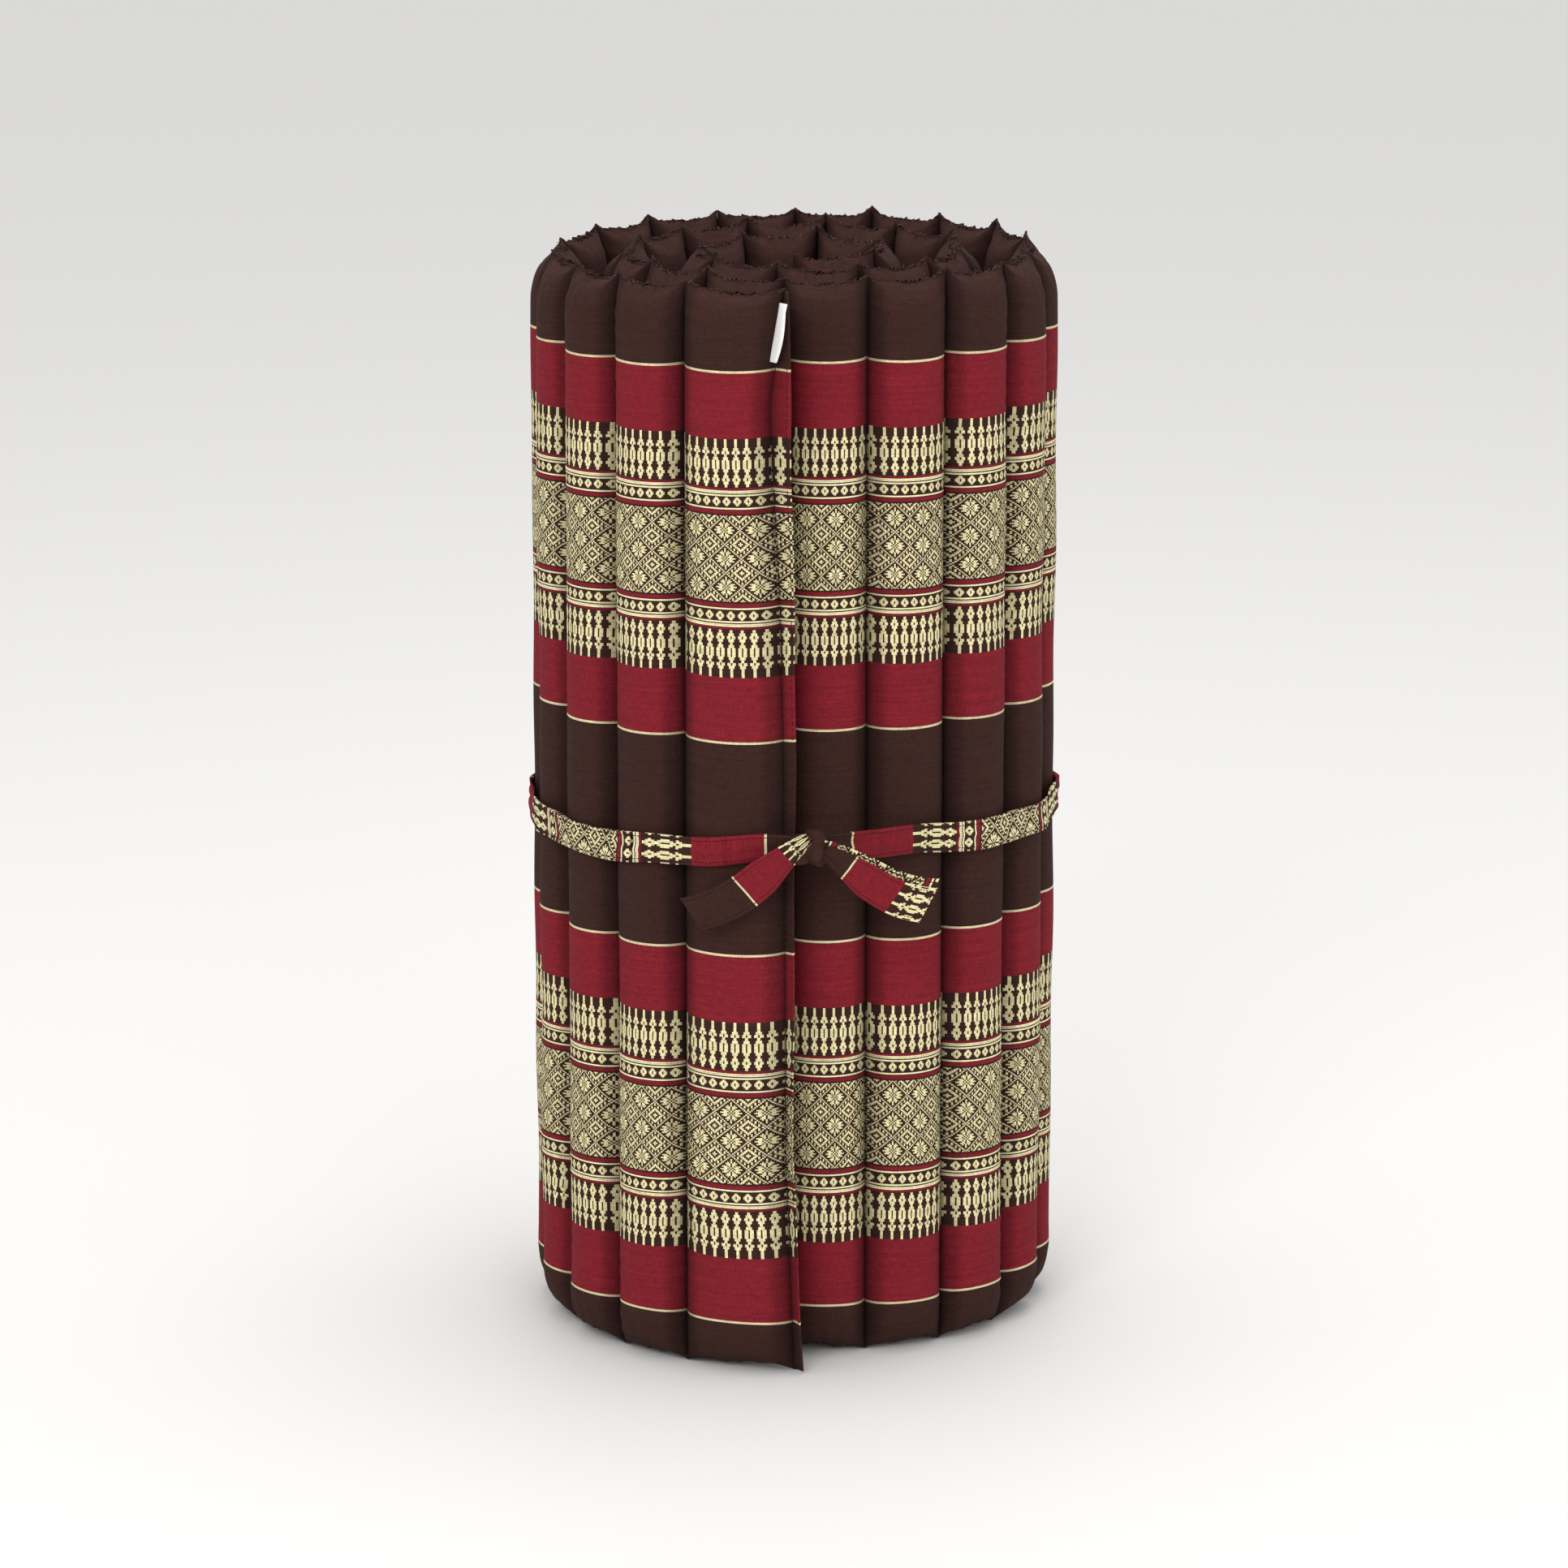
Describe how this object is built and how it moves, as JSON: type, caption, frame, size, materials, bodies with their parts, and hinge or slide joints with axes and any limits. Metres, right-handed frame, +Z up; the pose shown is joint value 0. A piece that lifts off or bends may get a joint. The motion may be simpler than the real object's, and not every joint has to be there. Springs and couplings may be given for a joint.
{
  "type": "roll-up kapok mattress",
  "caption": "Rolled-up channel-stuffed cotton mattress with woven patterned bands, stood on end, tied round the middle with a ribbon; its outer end opens flat seam by seam.",
  "frame": {"origin": "middle of the rolled mattress's box, on the floor it stands on", "axes": "+Z up along the roll, -Y the front with the loose end and the knot, +X to the right seen from the front"},
  "size_m": [0.3732, 0.4, 0.76],
  "materials": {
    "cover_cloth": "plain weave cotton, dark brown with crimson and cream woven bands",
    "kapok_fibre": "loose matt fibre",
    "tie_ribbon": "folded strip of the cover cloth",
    "label_tape": "white satin tape, blank"
  },
  "bodies": {
    "roll": {"cover_13": "cover_cloth", "kapok_13": "kapok_fibre", "cover_14": "cover_cloth", "kapok_14": "kapok_fibre", "cover_15": "cover_cloth", "kapok_15": "kapok_fibre", "cover_16": "cover_cloth", "kapok_16": "kapok_fibre", "cover_17": "cover_cloth", "kapok_17": "kapok_fibre", "channel_18": "cover_cloth", "channel_19": "cover_cloth", "channel_20": "cover_cloth", "channel_21": "cover_cloth", "channel_22": "cover_cloth", "channel_23": "cover_cloth", "channel_24": "cover_cloth", "channel_25": "cover_cloth", "channel_26": "cover_cloth", "channel_27": "cover_cloth", "channel_28": "cover_cloth", "channel_29": "cover_cloth", "channel_30": "cover_cloth", "channel_31": "cover_cloth", "channel_32": "cover_cloth", "channel_33": "cover_cloth", "channel_34": "cover_cloth", "channel_35": "cover_cloth", "channel_36": "cover_cloth", "channel_37": "cover_cloth", "channel_38": "cover_cloth", "tie_band": "tie_ribbon"},
    "flap": {"cover_01": "cover_cloth", "kapok_01": "kapok_fibre", "tie_knot": "tie_ribbon"},
    "channel_02": {"cover_02": "cover_cloth", "kapok_02": "kapok_fibre"},
    "channel_03": {"cover_03": "cover_cloth", "kapok_03": "kapok_fibre"},
    "channel_04": {"cover_04": "cover_cloth", "kapok_04": "kapok_fibre"},
    "channel_05": {"cover_05": "cover_cloth", "kapok_05": "kapok_fibre"},
    "channel_06": {"cover_06": "cover_cloth", "kapok_06": "kapok_fibre"},
    "channel_07": {"cover_07": "cover_cloth", "kapok_07": "kapok_fibre"},
    "channel_08": {"cover_08": "cover_cloth", "kapok_08": "kapok_fibre"},
    "channel_09": {"cover_09": "cover_cloth", "kapok_09": "kapok_fibre"},
    "channel_10": {"cover_10": "cover_cloth", "kapok_10": "kapok_fibre"},
    "channel_11": {"cover_11": "cover_cloth", "kapok_11": "kapok_fibre"},
    "channel_12": {"cover_12": "cover_cloth", "kapok_12": "kapok_fibre"},
    "tail_left": {"tie_tail_left": "tie_ribbon"},
    "tail_right": {"tie_tail_right": "tie_ribbon"},
    "label": {"side_label": "label_tape"}
  },
  "joints": [
    {"name": "unroll", "type": "hinge", "parent": "roll", "child": "channel_12", "pos_m": [0.1435, 0.10112, 0.38], "axis": [0, 0, -1], "range_deg": [0, 20.69], "deforming": ["tie_band"]},
    {"name": "seam_11", "type": "hinge", "parent": "channel_12", "child": "channel_11", "pos_m": [0.10653, 0.14384, 0.38], "axis": [0, 0, -1], "range_deg": [0, 20.36]},
    {"name": "seam_10", "type": "hinge", "parent": "channel_11", "child": "channel_10", "pos_m": [0.05701, 0.17105, 0.38], "axis": [0, 0, -1], "range_deg": [0, 20.02]},
    {"name": "seam_09", "type": "hinge", "parent": "channel_10", "child": "channel_09", "pos_m": [0.00117, 0.17966, 0.38], "axis": [0, 0, -1], "range_deg": [0, 19.71]},
    {"name": "seam_08", "type": "hinge", "parent": "channel_09", "child": "channel_08", "pos_m": [-0.05431, 0.16896, 0.38], "axis": [0, 0, -1], "range_deg": [0, 19.41]},
    {"name": "seam_07", "type": "hinge", "parent": "channel_08", "child": "channel_07", "pos_m": [-0.10308, 0.14045, 0.38], "axis": [0, 0, -1], "range_deg": [0, 19.12]},
    {"name": "seam_06", "type": "hinge", "parent": "channel_07", "child": "channel_06", "pos_m": [-0.13984, 0.09753, 0.38], "axis": [0, 0, -1], "range_deg": [0, 18.85]},
    {"name": "seam_05", "type": "hinge", "parent": "channel_06", "child": "channel_05", "pos_m": [-0.16077, 0.04505, 0.38], "axis": [0, 0, -1], "range_deg": [0, 18.59]},
    {"name": "seam_04", "type": "hinge", "parent": "channel_05", "child": "channel_04", "pos_m": [-0.16389, -0.01136, 0.38], "axis": [0, 0, -1], "range_deg": [0, 18.34]},
    {"name": "seam_03", "type": "hinge", "parent": "channel_04", "child": "channel_03", "pos_m": [-0.14912, -0.06589, 0.38], "axis": [0, 0, -1], "range_deg": [0, 18.1]},
    {"name": "seam_02", "type": "hinge", "parent": "channel_03", "child": "channel_02", "pos_m": [-0.11814, -0.11315, 0.38], "axis": [0, 0, -1], "range_deg": [0, 17.87]},
    {"name": "seam_01", "type": "hinge", "parent": "channel_02", "child": "flap", "pos_m": [-0.07417, -0.14863, 0.38], "axis": [0, 0, -1], "range_deg": [0, 21.02]},
    {"name": "tail_left_swing", "type": "hinge", "parent": "flap", "child": "tail_left", "pos_m": [0.00005, -0.19879, 0.371], "axis": [0.1219, 0.9925, 0], "range_deg": [-35, 20]},
    {"name": "tail_right_swing", "type": "hinge", "parent": "flap", "child": "tail_right", "pos_m": [0.02405, -0.19879, 0.371], "axis": [-0.0698, 0.9976, 0], "range_deg": [-20, 35]},
    {"name": "label_fold", "type": "hinge", "parent": "flap", "child": "label", "pos_m": [0.00005, -0.17259, 0.7245], "axis": [0, 0, 1], "range_deg": [-60, 35]}
  ],
  "couplings": [
    {"joint": "seam_11", "follows": "unroll", "ratio": 0.98309},
    {"joint": "seam_10", "follows": "unroll", "ratio": 0.96706},
    {"joint": "seam_09", "follows": "unroll", "ratio": 0.95183},
    {"joint": "seam_08", "follows": "unroll", "ratio": 0.93735},
    {"joint": "seam_07", "follows": "unroll", "ratio": 0.92354},
    {"joint": "seam_06", "follows": "unroll", "ratio": 0.91036},
    {"joint": "seam_05", "follows": "unroll", "ratio": 0.89777},
    {"joint": "seam_04", "follows": "unroll", "ratio": 0.88572},
    {"joint": "seam_03", "follows": "unroll", "ratio": 0.87417},
    {"joint": "seam_02", "follows": "unroll", "ratio": 0.86309},
    {"joint": "seam_01", "follows": "unroll", "ratio": 1.0152}
  ]
}
